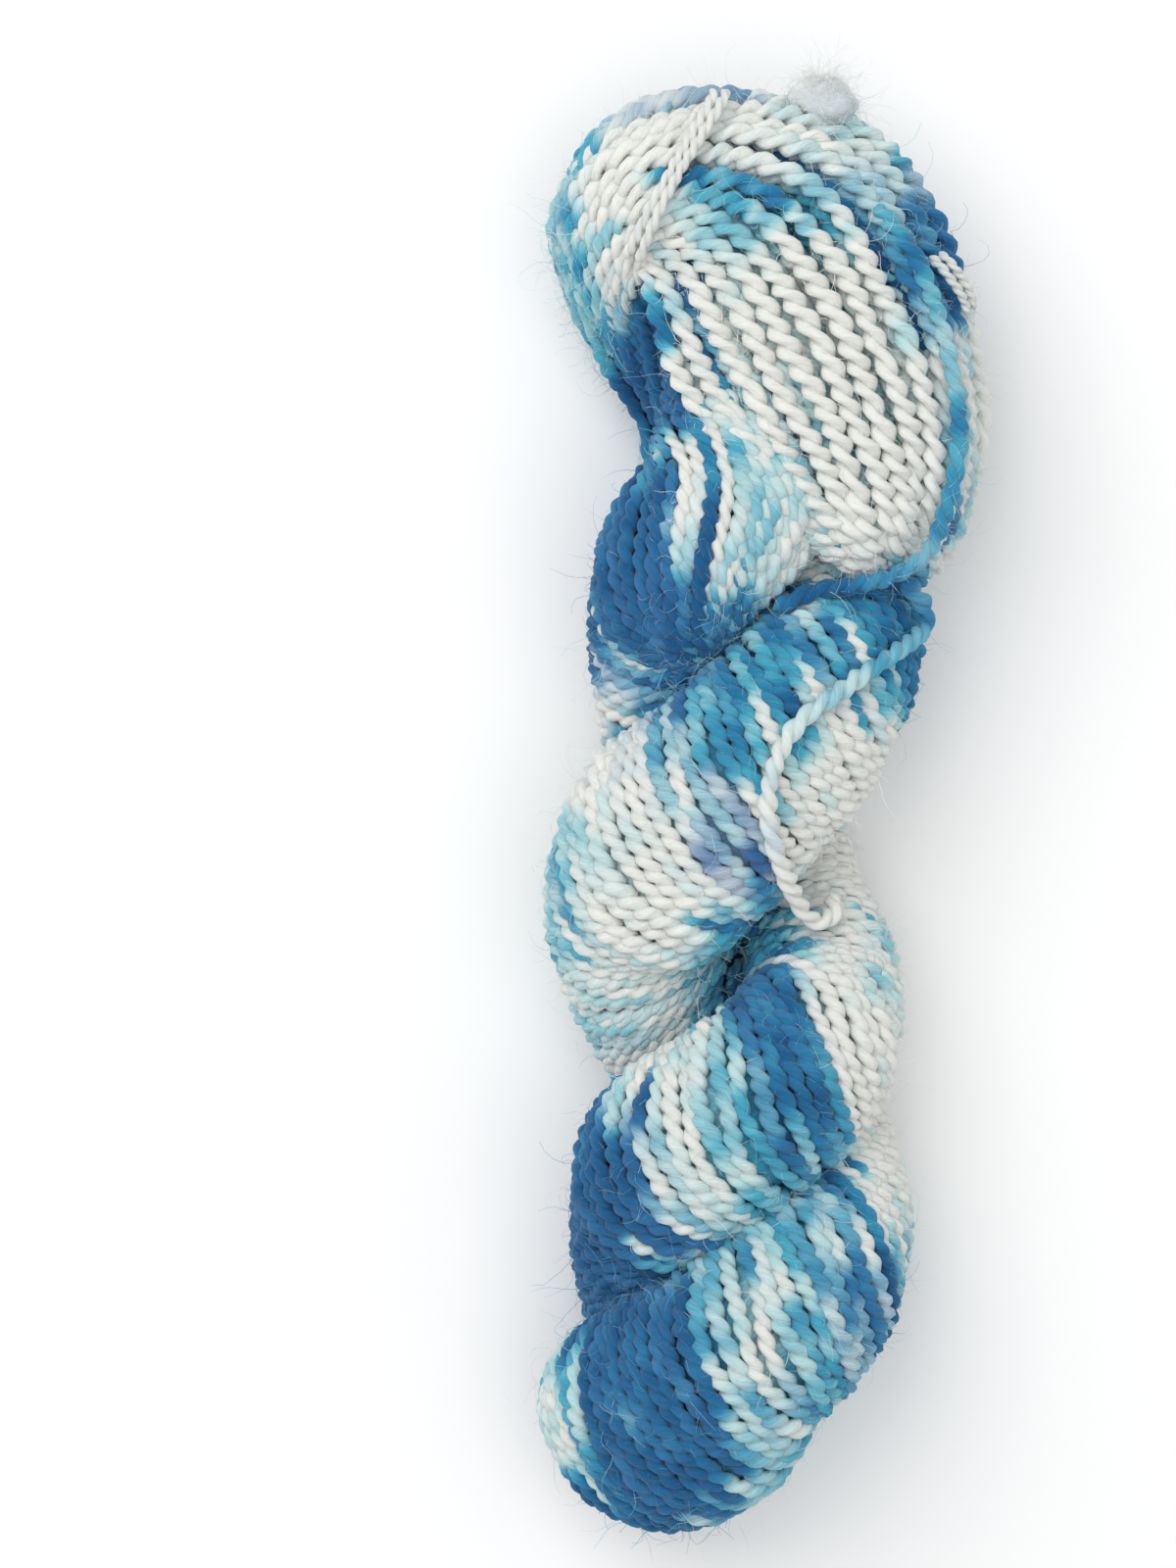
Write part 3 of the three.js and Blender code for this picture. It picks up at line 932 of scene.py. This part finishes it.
def lump(name, at, size, turned, slot, rows=40, sides=56):
    """A soft lump of unspun fibre, a ball with wide swells and fine ones that is slimmer at its lower end."""
    down, round_it = np.linspace(0.02, np.pi - 0.02, rows), 2 * np.pi * np.arange(sides) / sides
    v, u = np.meshgrid(down, round_it, indexing="ij")
    ball = np.stack([np.sin(v) * np.cos(u), np.cos(v), np.sin(v) * np.sin(u)], -1)
    swell = 1 + sum(0.07 * np.sin(ball @ rng.normal(0, 3.2, 3) + rng.random() * 6) for _ in range(5))
    swell += sum(0.012 * np.sin(ball @ rng.normal(0, 16, 3) + rng.random() * 6) for _ in range(6))
    swell *= 1 - 0.22 * np.clip(-ball[..., 1], 0, 1)
    c, w = np.cos(turned), np.sin(turned)
    turn = np.array([(c, w, 0), (-w, c, 0), (0, 0, 1)])
    place = (ball * swell[..., None] * size @ turn + at).reshape(-1, 3)
    x, y, _ = place.T
    held = {"dye": LUMP_DYE + 0.05 * ball[..., 0].ravel(), "tone": 1 + 0 * x, "strand": 0 * x}
    held |= {"along": x * 2, "ply_x": y * 0.7, "ply_y": 0 * x}
    uvs = spread_flat(np.arange(rows) / (rows - 1), np.arange(sides + 1) / sides)
    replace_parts(piece(name, place, rings_joined(rows, sides), held, uvs), slot)
    up = unit(place - at)
    side = unit(np.cross(up, (0.3, 0.1, 1)))
    dye, tone, strand = (held[key] for key in ("dye", "tone", "strand"))
    return SimpleNamespace(line=place, up=up, side=side, half=0 * x, dye=dye, tone=tone, strand=strand)


knot = lump("fibre_knot", (12.2, 141.3, 44.5), (6.4, 5.4, 4.6), -0.35, "knot")

# ---------------------------------------------------------------- loose fibres


FACING_UP = -0.45
SHORT_SHARE = 0.66
RIBBON_HALF = 0.055
TIP_HALF = 0.025
RIBBON_FACES = 5
FIBRE_DYE = 0.62


def ways(count, spread):
    """Random ways, one for each fibre."""
    return rng.normal(0, spread, (count, 3))


def fibres(name, strands, count, slot="yarn", reach=1.0):
    """Fine fibres that stand off the strands, as one mesh of thin ribbons that end in a finer tip."""
    keys = ("line", "up", "side", "half", "dye", "tone", "strand")
    all_points = (np.concatenate([getattr(s, key) for s in strands]) for key in keys)
    line, up, side, half, dye, tone, strand = all_points
    chosen = rng.choice(np.flatnonzero(up[:, 2] > FACING_UP), count)
    around = rng.normal(0, 0.9, count)[:, None]
    out = up[chosen] * np.cos(around) + side[chosen] * np.sin(around)
    along = np.cross(up[chosen], side[chosen]) * np.sign(rng.normal(size=count))[:, None]
    short = rng.random(count) < SHORT_SHARE
    long = reach * np.where(short, rng.uniform(2, 4.5, count), rng.uniform(5, 12, count))
    heading = unit(along + 0.55 * out + ways(count, 0.35))
    turn = ways(count, 1.0)
    at = line[chosen] + out * (half[chosen] * 0.8)[:, None]
    paths = [at]
    for k in range(RIBBON_FACES):
        turn = 0.7 * turn + ways(count, 0.9) - 0.35 * out * (k > 1)
        heading = unit(heading + 0.32 * turn)
        at = at + heading * (long / RIBBON_FACES)[:, None]
        paths.append(at)
    path = np.stack(paths, 1)
    path[:, :, 2] = np.maximum(path[:, :, 2], 0.1)
    tangent = unit(np.gradient(path, axis=1))
    side = unit(np.cross(tangent, rng.normal(size=(count, 1, 3))))
    thin = np.linspace(RIBBON_HALF, TIP_HALF, RIBBON_FACES + 1)[None, :, None]
    edges = np.stack([path - thin * side, path + thin * side], 2)
    each = 2 * (RIBBON_FACES + 1)
    start = each * np.arange(count)[:, None] + 2 * np.arange(RIBBON_FACES)
    faces = np.stack([start, start + 1, start + 3, start + 2], -1).reshape(-1, 4)
    held = {"dye": FIBRE_DYE * dye[chosen], "tone": tone[chosen], "strand": strand[chosen]}
    held = {key: np.repeat(values, each) for key, values in held.items()}
    held |= {key: np.zeros(len(held["dye"])) for key in ("along", "ply_x", "ply_y")}
    grid = int(np.ceil(np.sqrt(count)))
    cell = np.stack([np.arange(count) % grid, np.arange(count) // grid], 1)[:, None, None, :]
    corners = np.array([(0, 0), (0, 1), (1, 1), (1, 0)]) * (1 / RIBBON_FACES, 1)
    quad = np.stack([np.arange(RIBBON_FACES) / RIBBON_FACES, np.zeros(RIBBON_FACES)], 1)[:, None] + corners
    uvs = ((cell + 0.1 + 0.8 * quad) / grid).reshape(-1, 2)
    return piece(name, edges.reshape(-1, 3), faces, held, uvs)


# The fan's top strands are listed twice, so that more of the fibres stand off them.
fibre_roots = wound_turns + fan_top * 2 + fan_under + [edge_strand]
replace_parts(fibres("loose_fibres", fibre_roots, 12000), "hank")
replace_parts(fibres("knot_fibres", [knot], 1100, "knot", 0.9), "knot")

# ---------------------------------------------------------------- the table

TABLE_SIZE = 6
bpy.ops.mesh.primitive_plane_add(size=TABLE_SIZE, location=(0, 0, 0))
table_top = bpy.context.object
table_top.name = "table"
table_top.data.materials.append(table.material)
